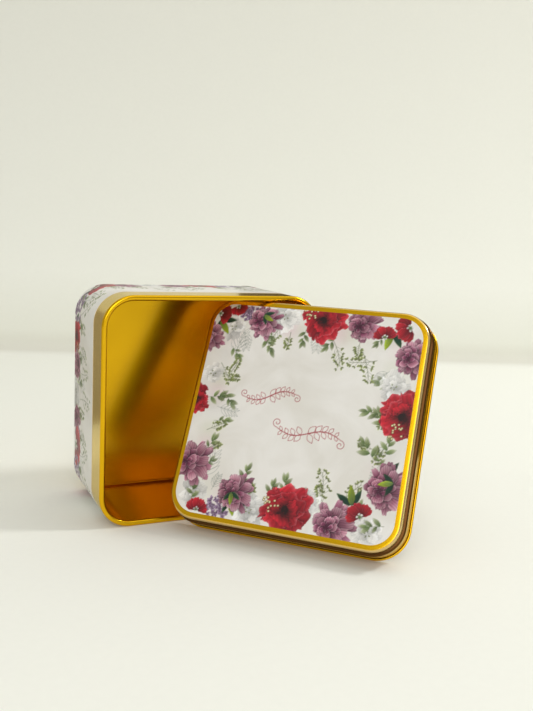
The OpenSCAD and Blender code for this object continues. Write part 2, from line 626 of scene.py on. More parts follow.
@dataclass(frozen=True)
class Shape:
    """How a petal or leaf widens and closes: half its width goes as s^open * (1 - s)^close."""

    open: float
    close: float

    def half(self, s: np.ndarray) -> np.ndarray:
        """The share of the greatest half width at each share of the length.

        Args:
            s: Shares of the length, from 0 to 1.

        Returns:
            How wide it is there, up to 1.
        """
        at = self.open / (self.open + self.close)
        most = at**self.open * (1 - at) ** self.close
        return s**self.open * (1 - s) ** self.close / most


Inks = tuple[Ink, Ink, Ink]
PETAL = Shape(0.8, 0.36)
BROAD_PETAL = Shape(0.6, 0.3)
LEAF = Shape(0.75, 1.0)


@dataclass
class Canvas:
    """A print's surface: a grid of points in mm, and the colour at each.

    The grid is even enough for a spot to be found by its place. `slack` is how far, in mm, a
    point may stand from there. The three blurs are how wide, in mm, the soft edge is of a petal, a
    dot and a pen line, so that none of them is cut jagged by the grid.
    """

    x: np.ndarray
    y: np.ndarray
    pitch: float
    slack: float = 0.6
    petal_blur: float = 0.22
    dot_blur: float = 0.2
    pen_blur: float = 0.24
    rgb: np.ndarray = field(init=False)
    inked: np.ndarray = field(init=False)

    def __post_init__(self) -> None:
        """Starts with bare paper."""
        self.rgb = np.broadcast_to(Ink.PAPER.rgb, (*self.x.shape, 3)).copy()
        self.inked = np.zeros(self.x.shape)
        self.left = float(self.x.min())
        self.low = float(self.y.min())

    def window(self, at: Point, reach: float) -> tuple[slice, slice]:
        """The grid's rows and columns within reach of a point.

        Args:
            at: The point, in mm.
            reach: How far to look, in mm.

        Returns:
            The rows and the columns.
        """
        rows, cols = self.x.shape
        wide = reach + self.slack
        row = [int((at[1] - self.low + s * wide) / self.pitch) for s in (-1, 1)]
        col = [int((at[0] - self.left + s * wide) / self.pitch) for s in (-1, 1)]
        return (
            slice(max(0, min(rows, row[0])), max(0, min(rows, row[1] + 2))),
            slice(max(0, min(cols, col[0])), max(0, min(cols, col[1] + 2))),
        )

    def lay(self, win: tuple[slice, slice], cover: np.ndarray, colour: np.ndarray) -> None:
        """Mixes a colour in, by how much of each point it covers."""
        part = self.rgb[win]
        part += (colour - part) * cover[..., None]

    def petal(
        self, at: Point, turn: float, length: float, width: float, inks: Inks, shape: Shape,
        rng: np.random.Generator, *, ruffle: float = 0.0, shadow: float = 0.45, vein: float = 0.1,
        strength: float = 1.0, fade: float = 0.0, rim_at: float = 0.55,
    ) -> None:
        """Paints one petal or leaf.

        Args:
            at: Where it grows from, in mm.
            turn: Its direction, in radians.
            length: Its length, in mm.
            width: Its greatest width, in mm.
            inks: Its colour at the root, in the body and along the rim.
            shape: How it widens and closes.
            rng: The source of its small differences.
            ruffle: How wavy its edge is.
            shadow: How dark the shade is that it throws on the petals under it.
            vein: How strong its veins are.
            strength: How solid the ink is.
            fade: How much of the ink is gone at its tip.
            rim_at: Where the rim's colour starts, as a share of the half width, squared.
        """
        win = self.window(at, length + 1.0)
        x, y = self.x[win] - at[0], self.y[win] - at[1]
        if x.size == 0:
            return
        phase = rng.uniform(0, 6.28, 3)
        bend = rng.uniform(-0.3, 0.3) * width
        along = (x * math.cos(turn) + y * math.sin(turn)) / length
        across = -x * math.sin(turn) + y * math.cos(turn) - bend * np.clip(along, 0, 1) ** 2
        along = along + ruffle * 0.06 * np.sin(across / width * 13 + phase[0])
        s = np.clip(along, 1e-4, 1 - 1e-4)
        half = width / 2 * shape.half(s) * (1 + ruffle * 0.1 * np.sin(s * 17 + phase[1]))
        inside = np.where((along > 0) & (along < 1), half - np.abs(across), -1.0)
        cover = np.clip(inside / self.petal_blur + 0.5, 0, 1) * strength * (1 - fade * s**2)
        shade = np.clip((inside + 0.6) / 0.8, 0, 1) * (along > -0.05) * (along < 1.06)
        self.rgb[win] *= 1 - (shadow * shade * (1 - cover) * self.inked[win])[..., None]
        t = np.clip(across / np.maximum(half, 0.05), -1, 1)
        root, body, rim = (ink.rgb for ink in inks)
        tone = root + (body - root) * np.clip(s * 1.25 + 0.02, 0, 1)[..., None]
        edge = np.clip((np.maximum(t * t, s * s) - rim_at) / (1 - rim_at), 0, 1) * rng.uniform(0.5, 1.0)
        tone = tone + (rim - tone) * edge[..., None]
        lit = 1 + 0.16 * t * math.cos(turn - 0.8) * rng.uniform(0.4, 1.3)
        lines = 1 - vein * (0.5 + 0.5 * np.sin(across / width * 34 + 2 * np.sin(s * 8 + phase[2])))
        tone = np.clip(tone * (lines * lit * rng.uniform(0.84, 1.12))[..., None], 0, 1)
        part = self.rgb[win]
        part += (tone - part) * cover[..., None]
        self.inked[win] = np.maximum(self.inked[win], cover)

    def wash(self, at: Point, radius: float, ink: Ink, strength: float) -> None:
        """Lays a faint, soft patch of colour.

        Args:
            at: Its middle, in mm.
            radius: How far it spreads, in mm.
            ink: Its colour.
            strength: How solid it is in the middle.
        """
        win = self.window(at, 2 * radius)
        gone = np.hypot(self.x[win] - at[0], self.y[win] - at[1]) / radius
        self.lay(win, strength * np.exp(-gone * gone), ink.rgb)

    def dot(self, at: Point, radius: float, ink: Ink, strength: float = 1.0) -> None:
        """Paints one round spot.

        Args:
            at: Its middle, in mm.
            radius: Its radius, in mm.
            ink: Its colour.
            strength: How solid it is.
        """
        win = self.window(at, radius + 0.5)
        gone = np.hypot(self.x[win] - at[0], self.y[win] - at[1])
        self.lay(win, strength * np.clip((radius - gone) / self.dot_blur + 0.5, 0, 1), ink.rgb)

    def stroke(self, points: np.ndarray, width: Width, ink: Ink, strength: float = 1.0) -> None:
        """Draws a line with a pen, in mm, whose width may change along it.

        Args:
            points: The line's points, in mm.
            width: The line's width in mm, or one for each point.
            ink: Its colour.
            strength: How solid it is.
        """
        widths = np.broadcast_to(width, len(points))
        low, high = points.min(0), points.max(0)
        middle = (low + high) / 2
        win = self.window(tuple(middle), float(np.max(high - low)) / 2 + 0.6)
        x, y = self.x[win], self.y[win]
        cover = np.zeros(x.shape)
        for a, b, w in zip(points[:-1], points[1:], widths):
            step = b - a
            t = np.clip(((x - a[0]) * step[0] + (y - a[1]) * step[1]) / (step @ step + 1e-9), 0, 1)
            gone = np.hypot(x - a[0] - t * step[0], y - a[1] - t * step[1])
            cover = np.maximum(cover, np.clip((w / 2 - gone) / self.pen_blur + 0.5, 0, 1))
        self.lay(win, strength * cover, ink.rgb)


class Bloom(Enum):
    """The kinds of thing that the border is made of."""

    POPPY = "poppy"
    PEONY = "peony"
    WHITE_ROSE = "white rose"
    LILAC = "lilac"
    BUD = "bud"
    LEAVES = "leaves"
    DARK_LEAVES = "dark leaves"
    SPRIG = "sprig"
    FERN = "fern"


@dataclass(frozen=True)
class Planting:
    """One bloom in the border: its kind, its place and radius in mm, and its turn in degrees."""

    kind: Bloom
    x: float
    y: float
    size: float
    turn: float = 0.0


@dataclass
class Florist:
    """Paints blooms on a canvas, each a little different."""

    canvas: Canvas
    seed: int = 7

    def __post_init__(self) -> None:
        """Starts the run of small differences."""
        self.rng = np.random.default_rng(self.seed)

    def plant(self, what: Planting) -> None:
        """Paints one bloom.

        Args:
            what: The bloom.
        """
        paint = {
            Bloom.POPPY: self.poppy,
            Bloom.PEONY: self.peony,
            Bloom.WHITE_ROSE: self.white_rose,
            Bloom.LILAC: self.lilac,
            Bloom.BUD: self.bud,
            Bloom.LEAVES: self.leaves,
            Bloom.DARK_LEAVES: self.dark_leaves,
            Bloom.SPRIG: self.sprig,
            Bloom.FERN: self.fern,
        }[what.kind]
        paint((what.x, what.y), what.size, math.radians(what.turn))

    def whorl(
        self, at: Point, count: int, length: float, width: float, inks: Inks, shape: Shape, turn: float,
        tilt: float = 0.0, **more: float,
    ) -> None:
        """Paints a ring of petals about a point.

        Args:
            at: The point, in mm.
            count: How many petals.
            length: Their length, in mm.
            width: Their width, in mm.
            inks: Their colours at the root, in the body and along the rim.
            shape: How they widen and close.
            turn: The direction of the first one, in radians.
            tilt: How much longer that one is, as a share.
            more: What else `Canvas.petal` takes.
        """
        for k in self.rng.permutation(count):
            angle = turn + math.tau * k / count + self.rng.uniform(-0.25, 0.25)
            far = length * self.rng.uniform(0.84, 1.1) * (1 + tilt * math.cos(angle - turn))
            self.canvas.petal(
                at, angle, far, width * self.rng.uniform(0.8, 1.2), inks, shape, self.rng, **more
            )

    def poppy(self, at: Point, size: float, turn: float) -> None:
        """A full red flower with a dark heart, stamens, and a spray of cream berries beside it.

        Args:
            at: Its middle, in mm.
            size: Its radius, in mm.
            turn: Its direction, in radians.
        """
        canvas, rng = self.canvas, self.rng
        red = (Ink.RED_DEEP, Ink.RED, Ink.RED_LIGHT)
        deep = (Ink.HEART, Ink.RED, Ink.RED)
        folds = {"ruffle": 1.3, "vein": 0.12, "rim_at": 0.7, "shadow": 0.6}
        self.whorl(at, 5, size, size * 1.25, red, BROAD_PETAL, turn, 0.1, **folds)
        self.whorl(at, 4, size * 0.8, size * 1.05, red, BROAD_PETAL, turn + 0.6, **folds)
        self.whorl(at, 3, size * 0.56, size * 0.8, deep, BROAD_PETAL, turn, **folds)
        for k in range(9):
            angle, far = turn + 0.24 * k, size * rng.uniform(0.06, 0.16)
            canvas.dot(polar(at, angle, far), size * 0.09, Ink.HEART, 0.9)
        for _ in range(22):
            angle, far = rng.uniform(0, math.tau), size * rng.uniform(0.16, 0.3)
            canvas.dot(polar(at, angle, far), 0.2, Ink.HEART, 0.85)
        spray = polar(at, turn + 2.5, 0.68 * size)
        for _ in range(15):
            angle, far = rng.uniform(0, math.tau), size * 0.36 * math.sqrt(rng.uniform(0, 1))
            spot = polar(spray, angle, far)
            canvas.dot(spot, 0.56, Ink.BERRY_EDGE, 0.8)
            canvas.dot((spot[0] + 0.06, spot[1] + 0.08), 0.36, Ink.BERRY)

    def peony(self, at: Point, size: float, turn: float) -> None:
        """A mauve flower seen from one side: long back petals and a cupped, darker heart.

        Args:
            at: Its middle, in mm.
            size: Its radius, in mm.
            turn: Its direction, in radians.
        """
        canvas, rng = self.canvas, self.rng
        pale = (Ink.WINE, Ink.MAUVE, Ink.MAUVE_LIGHT)
        warm = (Ink.WINE, Ink.ROSE, Ink.MAUVE_LIGHT)
        heart = polar(at, turn, -0.2 * size)
        back = {"ruffle": 0.3, "rim_at": 0.4}
        self.whorl(at, 15, size * 0.98, size * 0.3, pale, PETAL, turn, 0.22, vein=0.22, **back)
        self.whorl(at, 9, size * 0.86, size * 0.52, warm, PETAL, turn + 0.2, 0.15, vein=0.2, **back)
        self.whorl(
            heart, 9, size * 0.66, size * 0.34, pale, PETAL, turn, 0.1, ruffle=0.3, shadow=0.6, vein=0.2
        )
        self.whorl(heart, 5, size * 0.52, size * 0.42, warm, BROAD_PETAL, turn + 0.5, shadow=0.6, vein=0.2)
        canvas.wash(heart, size * 0.2, Ink.WINE, 0.85)
        for k in range(5):
            angle, far = turn + 1.3 * k, size * rng.uniform(0.04, 0.14)
            spot = polar(heart, angle, far)
            canvas.petal(spot, angle + 0.8, size * 0.24, size * 0.2, pale, BROAD_PETAL, rng, shadow=0.6)

    def white_rose(self, at: Point, size: float, turn: float) -> None:
        """A white flower that shows mostly by its grey shade.

        Args:
            at: Its middle, in mm.
            size: Its radius, in mm.
            turn: Its direction, in radians.
        """
        white = (Ink.GREY_LIGHT, Ink.WHITE_PETAL, Ink.EDGE)
        for count, share in ((6, 1.0), (6, 0.74), (4, 0.45)):
            self.whorl(
                at, count, size * share, size * share * 0.85, white, BROAD_PETAL, turn,
                ruffle=0.8, shadow=0.16, vein=0.06, strength=0.75,
            )
            turn += 0.5
        for k in range(4):
            angle = turn + k * 1.4
            stamen = (Ink.TWIG, Ink.OLIVE, Ink.OLIVE)
            self.canvas.petal(polar(at, angle, 0.7), angle, 0.9, 0.5, stamen, LEAF, self.rng, shadow=0)

    def lilac(self, at: Point, size: float, turn: float) -> None:
        """A head of many small florets.

        Args:
            at: Its middle, in mm.
            size: Its radius, in mm.
            turn: Not used, as a head has no direction of its own.
        """
        inks = (Ink.LILAC_DEEP, Ink.LILAC, Ink.LILAC_LIGHT)
        for _ in range(int(8 * size)):
            angle, far = self.rng.uniform(0, math.tau), size * math.sqrt(self.rng.uniform(0, 1))
            spot = (at[0] + far * math.cos(angle), at[1] + 0.8 * far * math.sin(angle))
            self.whorl(spot, 4, 1.1, 0.9, inks, BROAD_PETAL, angle, shadow=0.3)
            self.canvas.dot(spot, 0.18, Ink.LILAC_DEEP)

    def bud(self, at: Point, size: float, turn: float) -> None:
        """A small half-open red flower with a pale mouth and a green heart.

        Args:
            at: Its middle, in mm.
            size: Its radius, in mm.
            turn: Its direction, in radians.
        """
        red = (Ink.RED_DEEP, Ink.RED, Ink.RED_LIGHT)
        for angle in (-1.3, 1.3, -0.8, 0.8, -0.3, 0.3):
            self.canvas.petal(
                at, turn + angle, size * 1.25, size * 0.8, red, PETAL, self.rng,
                ruffle=0.5, vein=0.2, rim_at=0.75,
            )
        mouth = (Ink.GREEN, Ink.WHITE_PETAL, Ink.EDGE)
        self.whorl(at, 5, size * 0.34, size * 0.2, mouth, PETAL, turn, shadow=0.3)
        self.canvas.dot(at, size * 0.12, Ink.GREEN)

    def leaf(
        self, at: Point, turn: float, length: float, width: float, inks: Inks, fade: float = 0.0
    ) -> None:
        """One leaf with its midrib. The pale kind fades towards its tip.

        Args:
            at: Where it grows from, in mm.
            turn: Its direction, in radians.
            length: Its length, in mm.
            width: Its width, in mm.
            inks: Its colour at the root, in the body and along the rim.
            fade: How much of its ink is gone at its tip.
        """
        self.canvas.petal(
            at, turn, length, width, inks, LEAF, self.rng, shadow=0.2, vein=0.12, fade=fade, rim_at=0.4
        )
        reach = np.linspace(0, length * 0.8, 6)[:, None]
        rib = np.array(at) + reach * toward(turn)
        self.canvas.stroke(rib, 0.16, inks[0], 0.55 * (1 - fade / 2))

    def leaves(self, at: Point, size: float, turn: float) -> None:
        """Pale leaves in pairs along a short stem.

        Args:
            at: Where it grows from, in mm.
            size: Its length, in mm.
            turn: Its direction, in radians.
        """
        inks = (Ink.GREEN, Ink.OLIVE, Ink.OLIVE_LIGHT)
        for share, angle in ((0.15, -0.9), (0.3, 0.85), (0.5, -0.6), (0.6, 0.5), (0.7, 0.0)):
            small = size * self.rng.uniform(0.38, 0.55)
            self.leaf(polar(at, turn, size * share), turn + angle, small, small * 0.42, inks, 0.75)
        stem = np.array(at) + np.linspace(0, size * 0.7, 4)[:, None] * toward(turn)
        self.canvas.stroke(stem, 0.18, Ink.TWIG, 0.6)

    def dark_leaves(self, at: Point, size: float, turn: float) -> None:
        """Broad leaves, some deep green and some lime.

        Args:
            at: Where it grows from, in mm.
            size: Its length, in mm.
            turn: Its direction, in radians.
        """
        deep = (Ink.GREEN_DEEP, Ink.GREEN_DEEP, Ink.GREEN)
        lime = (Ink.GREEN, Ink.LIME, Ink.LIME)
        for angle, share, inks in ((-0.9, 0.8, deep), (0.75, 0.85, deep), (-0.2, 0.9, lime)):
            self.leaf(at, turn + angle, size * share, size * 0.36 * share, inks)

    def sprig(self, at: Point, size: float, turn: float) -> None:
        """A thin dark stem with side twigs, each tipped with small round leaves.

        Args:
            at: Where it grows from, in mm.
            size: Its length, in mm.
            turn: Its direction, in radians.
        """
        inks = (Ink.TWIG, Ink.OLIVE, Ink.LIME)
        heading = turn + self.rng.uniform(-0.5, 0.5) * np.linspace(0, 1, 8)
        steps = np.stack([np.cos(heading), np.sin(heading)], 1) * size / 8
        stem = np.array(at) + np.cumsum(steps, 0)
        self.canvas.stroke(stem, 0.22, Ink.TWIG, 0.75)
        for k in range(2, 8):
            for side in (-1, 1):
                lean = heading[k] + side * self.rng.uniform(0.6, 1.0)
                reach = size * self.rng.uniform(0.1, 0.24) * (1.25 - 0.09 * k)
                tip = stem[k] + reach * toward(lean)
                self.canvas.stroke(np.stack([stem[k], tip]), 0.14, Ink.TWIG, 0.5)
                for angle in (-0.7, 0.6):
                    small = self.rng.uniform(0.9, 1.6)
                    self.canvas.petal(
                        tuple(tip), lean + angle, small, small * 0.62, inks, LEAF, self.rng,
                        shadow=0, strength=0.85,
                    )

    def fern(self, at: Point, size: float, turn: float) -> None:
        """A grey leaf drawn in line only, its blades bowed.

        Args:
            at: Where it grows from, in mm.
            size: Its length, in mm.
            turn: Its direction, in radians.
        """
        spine = np.array(at) + np.linspace(0, size, 6)[:, None] * toward(turn)
        self.canvas.stroke(spine, 0.18, Ink.GREY, 0.7)
        t = np.linspace(0, 1, 9)
        for k, p in enumerate(spine[1:]):
            for side in (-1, 1):
                blade = size * (0.62 - 0.08 * k)
                lean = turn + side * 0.6
                bow = side * 0.16 * blade * np.sin(math.pi * t)
                for edge in (-0.5, 1):
                    x = p[0] + blade * t * math.cos(lean) - edge * bow * math.sin(lean)
                    y = p[1] + blade * t * math.sin(lean) + edge * bow * math.cos(lean)
                    self.canvas.stroke(np.stack([x, y], 1), 0.16, Ink.GREY, 0.65)

    def fillers(self, half: float, inset: float) -> None:
        """Fills the ground between the blooms of a square border: soft washes, pale leaves, sprigs.

        Args:
            half: Half the square's side, in mm.
            inset: How far in from its edge they lie, in mm.
        """
        rng = self.rng
        inks = (Ink.OLIVE_LIGHT, Ink.MAUVE_LIGHT, Ink.GREY_LIGHT, Ink.WHITE_PETAL)
        washes, fillers = 44, 30
        for k in range(washes):
            turn = math.tau * k / washes
            reach = (half - inset) / float(np.abs(toward(turn)).max())
            at = polar((0.0, 0.0), turn, reach)
            self.canvas.wash(at, rng.uniform(3, 6), inks[k % 4], rng.uniform(0.15, 0.4))
        for k in range(fillers):
            turn = math.tau * (k + rng.uniform(-0.3, 0.3)) / fillers
            reach = (half - inset * rng.uniform(0.9, 1.3)) / float(np.abs(toward(turn)).max())
            at = polar((0.0, 0.0), turn, reach)
            inward = math.degrees(turn) + 180 + rng.uniform(-50, 50)
            kind = (Bloom.LEAVES, Bloom.SPRIG, Bloom.LEAVES, Bloom.FERN)[k % 4]
            self.plant(Planting(kind, *at, rng.uniform(6, 9.5), inward))

    def scroll(self, at: Point, width: float, turn: float) -> None:
        """A generic ornament in thin line: a bowed twig with paired leaves and a curl at each end.

        Args:
            at: Its middle, in mm.
            width: How long it is, in mm.
            turn: Its direction, in radians.
        """
        t = np.linspace(-1, 1, 81)
        twig = np.stack([t * width * 0.42, width * 0.06 * np.sin(t * math.pi)], 1)
        self.pen(at, turn, twig, 0.22 + 0.2 * (1 - t * t))
        curl_r = 0.06 * width
        spin = np.linspace(0, 2.5 * math.pi, 36)
        r = np.linspace(curl_r, 0.012 * width, 36)
        for end, last in ((-1, twig[0]), (1, twig[-1])):
            curl = np.stack([np.sin(spin), np.cos(spin)], 1) * (end * r[:, None])
            self.pen(at, turn, last + (0, -end * curl_r) + curl, 0.26)
        u = np.linspace(0, 1, 14)
        for k in range(8, 80, 8):
            reach = width * (0.13 - 0.08 * abs(t[k]))
            for side in (-1, 1):
                lean = side * (0.95 if t[k] >= 0 else math.pi - 0.95)
                for belly in (-0.28, 0.28):
                    bow = belly * reach * np.sin(math.pi * u)
                    leaf = np.outer(u * reach, toward(lean)) + np.outer(bow, toward(lean + math.pi / 2))
                    self.pen(at, turn, twig[k] + leaf, 0.2)

    def pen(self, at: Point, turn: float, points: np.ndarray, width: Width) -> None:
        """Draws an ornament's line, turned and moved to its place.

        Args:
            at: The ornament's middle, in mm.
            turn: Its direction, in radians.
            points: The line's points about that middle, in mm.
            width: The line's width in mm, or one for each point.
        """
        c, s = math.cos(turn), math.sin(turn)
        moved = points @ np.array([[c, s], [-s, c]]) + np.array(at)
        self.canvas.stroke(moved, width, Ink.SCROLL, 0.95)


# The lid's border, in the order of painting: the pale and fine things lie under the rest. Each
# kind is followed by the places and sizes of its blooms in mm, and their turns in degrees.
LID_BORDER: tuple[tuple[Bloom, tuple[tuple[float, float, float, float], ...]], ...] = (
    (Bloom.FERN, (
        (-34, 22, 12, 80), (-36, -33, 12, 75),
    )),
    (Bloom.SPRIG, (
        (8, 36, 14, -50), (22, 32, 14, -60), (31, 28, 13, 200), (-40, 20, 10, -50), (-35, 13, 8, 60),
        (16, -36, 14, 80), (24, -34, 12, 60), (-14, 42, 13, -110), (40, -4, 11, 250), (-40, -12, 9, 30),
    )),
    (Bloom.WHITE_ROSE, (
        (-14, 43, 7, 10), (38, 17, 7, 40), (-37, 36, 6, 70), (11, -36, 6, 15), (-13, -42, 7, 50),
        (37, -43, 6, 0), (-39, -38, 6, 30), (-42, 14, 5, 30),
    )),
    (Bloom.LEAVES, (
        (-21, 33, 9, -60), (36, 5, 10, 175), (35, -14, 11, 130), (43, -39, 9, 190), (0, -34, 9, 85),
        (-19, -32, 9, 70), (-39, -42, 9, 95), (-38, -21, 9, 60), (-42, 3, 9, 10), (39, -12, 9, 80),
    )),
    (Bloom.LILAC, (
        (-27, -43, 5.5, 0), (-30, 43, 4.5, 0),
    )),
    (Bloom.DARK_LEAVES, (
        (-44, 39, 9, -40), (34, 41, 10, -95), (41, -20, 9, 20), (29, -33, 9, 110), (-22, -38, 9, -60),
    )),
    (Bloom.PEONY, (
        (-24, 40, 8, 0), (21, 42.5, 8.5, 20), (44, 30, 9, 0), (41, -25, 10, 15), (22, -42, 9, 40),
        (-21, -36, 8.5, 10), (-43.5, -26, 9.5, 0), (-48, 31, 7, 0),
    )),
    (Bloom.DARK_LEAVES, (
        (-24, 43, 6, -20), (44, -22, 7, 200), (-22, -36, 6, -70),
    )),
    (Bloom.BUD, (
        (-45, 42, 4.5, 30), (-37, 46, 3.5, -60), (31, 38, 4, 100), (41, 43, 5, 200),
        (33, -37, 4.5, 120), (-36, -45.5, 4, 90),
    )),
    (Bloom.POPPY, (
        (3, 42.5, 9.5, 0), (44, 5, 10, 110), (2, -40, 10, 20), (-47, 1.5, 6.5, 80),
    )),
)


# ---------------------------------------------------------------- the tin


@dataclass
class Stock:
    """What the tin is made from, in mm: one gauge of sheet and one vinyl.

    The pitches are how far apart each print's points of colour stand.
    """

    sheet: float = 0.3
    vinyl: float = 0.15
    label_pitch: float = 0.3
    wrap_pitch: float = 0.4


@dataclass
class TinBody:
    """The body: a wall folded from one strip, its bottom panel, and the printed wrap."""

    stock: Stock
    corner_r: float = 13.9
    curl_d: float = 2.4
    curl_turn: float = 300.0
    base_bend_r: float = 0.8
    hem_w: float = 3.4
    jog_r: float = 1.5
    dull: str = "#D4B488"
    seam_w: float = 5.0
    seam_ridge: float = 0.3
    seam_dip: float = 0.12
    panel_rise: float = 1.6
    panel_bend_r: float = 0.8
    panel_gap: float = 0.05
    wrap_gap: float = 0.4

    def __post_init__(self) -> None:
        """Reads the body's size and place from the frame."""
        low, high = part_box("body_shell")
        self.width = (high.x - low.x) / MM
        self.depth = (high.y - low.y) / MM
        wrap_low, wrap_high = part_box("body_wrap")
        self.wrap_low = (high.y - wrap_high.y) / MM
        self.wrap_high = (high.y - wrap_low.y) / MM
        base = (0, high.y, (low.z + high.z) / 2)
        self.place = Matrix.Translation(base) @ Matrix.Rotation(math.pi / 2, 4, "X")
        self.corner = self.width / 2 - self.corner_r
        self.wall_x = self.corner_r - self.stock.vinyl - self.stock.sheet / 2
        self.path = SquarePath(self.corner)

    def build(self, metal: bpy.types.Material, vinyl: bpy.types.Material) -> None:
        """Makes the body's pieces and dresses them.

        Args:
            metal: The finish of its plain sheet.
            vinyl: The finish of its wrap.
        """
        wall, zones = self.wall()
        zoned = GoldLacquer("gold lacquered tinplate, rubbed neck", zones=zones).make()
        for piece, node, slot, finish in (
            (wall, "body_shell", "body_tinplate", zoned),
            (self.panel(), "bottom_panel", "body_tinplate", metal),
            (self.wrap(), "body_wrap", "printed_wrap", vinyl),
        ):
            settle(piece, "tin", finish, node)
        settle(self.lock_seam(), "tin", metal)

    def wall(self) -> tuple[bpy.types.Object, Zones]:
        """The wall: turned-in base edge, flat sides, and the curl around the mouth.

        Returns:
            The wall, and the colours of its outer face, whose neck between curl and wrap is painted a
            paler, duller gold.
        """
        sheet, vinyl = self.stock.sheet, self.stock.vinyl
        curl_r = (self.curl_d - sheet) / 2
        jog = math.degrees(math.acos(1 - vinyl / (2 * self.jog_r)))
        jog_h = 2 * self.jog_r * math.sin(math.radians(jog))
        run = self.depth - self.curl_d / 2 - jog_h - sheet / 2 - self.base_bend_r
        strip = Strip(
            Place(self.wall_x - self.hem_w, sheet / 2, 0),
            (Run(self.hem_w - self.base_bend_r, 3), Bend(self.base_bend_r, 90), Run(run, 10),
             Bend(self.jog_r, -jog), Bend(self.jog_r, jog), Bend(curl_r, self.curl_turn)),
            sheet,
        )
        outline = strip.outline()
        neck, wrap = self.depth - self.curl_d, self.wrap_high
        # the neck between the curl and the wrap is painted a paler, duller gold
        zones = ((neck + 0.3, GOLD), (neck - 0.1, self.dull), (wrap - 0.6, self.dull), (wrap - 1.6, GOLD))
        outer = slice(len(outline) // 2, None)
        return sweep("tin_wall", self.path, outline, self.place), bands(outline, outer, zones)

    def lock_seam(self) -> bpy.types.Object:
        """The folded seam inside the right-hand wall, flattened and rounded along its edges.

        Returns:
            The seam.
        """
        fold = 2 * self.stock.sheet
        face = self.corner + self.wall_x - self.stock.sheet / 2
        low = self.panel_rise + self.stock.sheet
        high = self.depth - self.curl_d - 1.0
        half = self.seam_w / 2
        turns = np.radians(np.linspace(0, 90, 5))
        edge = [(face - fold * math.sin(a), half - fold * (1 - math.cos(a))) for a in turns]
        mirror = [(x, -y) for x, y in reversed(edge)]
        inner, ridge = face - fold, self.seam_ridge
        dip = [(inner, ridge), (inner + self.seam_dip, 0.0), (inner, -ridge)]
        section = np.array([*edge, *dip, *mirror])
        levels = np.linspace(low, high, 9)
        k = len(section)
        verts = np.array([(x, y, z) for z in levels for x, y in section])
        uvs = np.array([(z, y) for z in levels for x, y in section])
        faces: list[Sequence[int]] = [
            (r * k + s, r * k + (s + 1) % k, (r + 1) * k + (s + 1) % k, (r + 1) * k + s)
            for r in range(len(levels) - 1) for s in range(k)
        ]
        faces += [tuple(range(k)), tuple(range((len(levels) - 1) * k, len(levels) * k))]
        return finish_mesh("lock_seam", verts, faces, uvs, self.place)

    def panel(self) -> bpy.types.Object:
        """The bottom panel: a flat plate with its edge bent down on to the turned-in edge.

        Returns:
            The panel.
        """
        sheet = self.stock.sheet
        edge_x = self.wall_x - self.base_bend_r - sheet / 2 - self.panel_gap
        skirt = self.panel_rise - sheet / 2 - self.panel_bend_r - sheet
        strip = Strip(
            Place(edge_x - self.panel_bend_r - PLATE_EDGE, self.panel_rise - sheet / 2, 0),
            (Run(PLATE_EDGE), Bend(self.panel_bend_r, -90), Run(skirt)), sheet,
        )
        return sweep("base_panel", self.path, strip.outline(), self.place, ring=False)

    def wrap(self) -> bpy.types.Object:
        """The printed wrap, open by a hair where its ends meet over the seam.

        Returns:
            The wrap.
        """
        pitch = self.stock.wrap_pitch
        outer, inner = self.corner_r, self.corner_r - self.stock.vinyl
        rows = math.ceil((self.wrap_high - self.wrap_low) / pitch)
        levels = np.linspace(self.wrap_low, self.wrap_high, rows + 1)
        outline = np.array([(outer, z) for z in levels] + [(inner, levels[-1]), (inner, levels[0])])
        quarter = math.ceil(outer * math.pi / 2 / pitch)
        path = SquarePath(self.corner, 2 * math.ceil(self.corner / pitch), quarter)
        made = sweep("printed_wrap", path, outline, self.place, gap=self.wrap_gap, radius=outer)
        run = path.stations(outer, self.wrap_gap)[2]
        canvas = Canvas(*np.meshgrid(run, levels - levels[0]), pitch)
        self.decorate(canvas, float(run[-1]))
        shown = np.empty((len(run), len(outline), 3))
        shown[:] = Ink.EDGE.rgb
        shown[:, : rows + 1] = canvas.rgb.transpose(1, 0, 2)
        colour_points(made, shown.reshape(-1, 3))
        return made

    def decorate(self, canvas: Canvas, length: float) -> None:
        """Paints the wrap: a border of blooms along the base, with sprigs above it.

        Args:
            canvas: The wrap's surface, laid flat, with the base along its lower edge.
            length: How long it is, in mm.
        """
        florist = Florist(canvas, seed=19)
        kinds = (Bloom.POPPY, Bloom.PEONY, Bloom.WHITE_ROSE, Bloom.PEONY, Bloom.BUD, Bloom.LILAC)
        spacing = 13.0
        count = round(length / spacing)
        for k in range(count):
            x = (k + 0.5) * length / count
            florist.plant(Planting(Bloom.SPRIG, x + 3, 10, 14 + 3 * (k % 3), 75 + 15 * (k % 3)))
            florist.plant(Planting(Bloom.FERN if k % 3 else Bloom.SPRIG, x - 4, 8, 12, 100))
            florist.plant(Planting(Bloom.LEAVES, x + 6, 7, 10, 60 + 20 * (k % 2)))
        for k in range(count):
            x = (k + 0.5) * length / count
            florist.plant(Planting(Bloom.DARK_LEAVES, x + 6, 3, 8, 80))
            florist.plant(Planting(kinds[k % len(kinds)], x, 4 + 2 * (k % 2), 8, 50 * k))


def colour_points(piece: bpy.types.Object, display: np.ndarray) -> None:
    """Stores one printed colour for each of a piece's points.

    Args:
        piece: The piece.
        display: The colours, as display values.
    """
    layer = piece.data.color_attributes.new(name=INK, type="FLOAT_COLOR", domain="POINT")
    rgba = np.ones((len(display), 4), np.float32)
    rgba[:, :3] = linear(np.clip(display, 0, 1))
    layer.data.foreach_set("color", rgba.ravel())


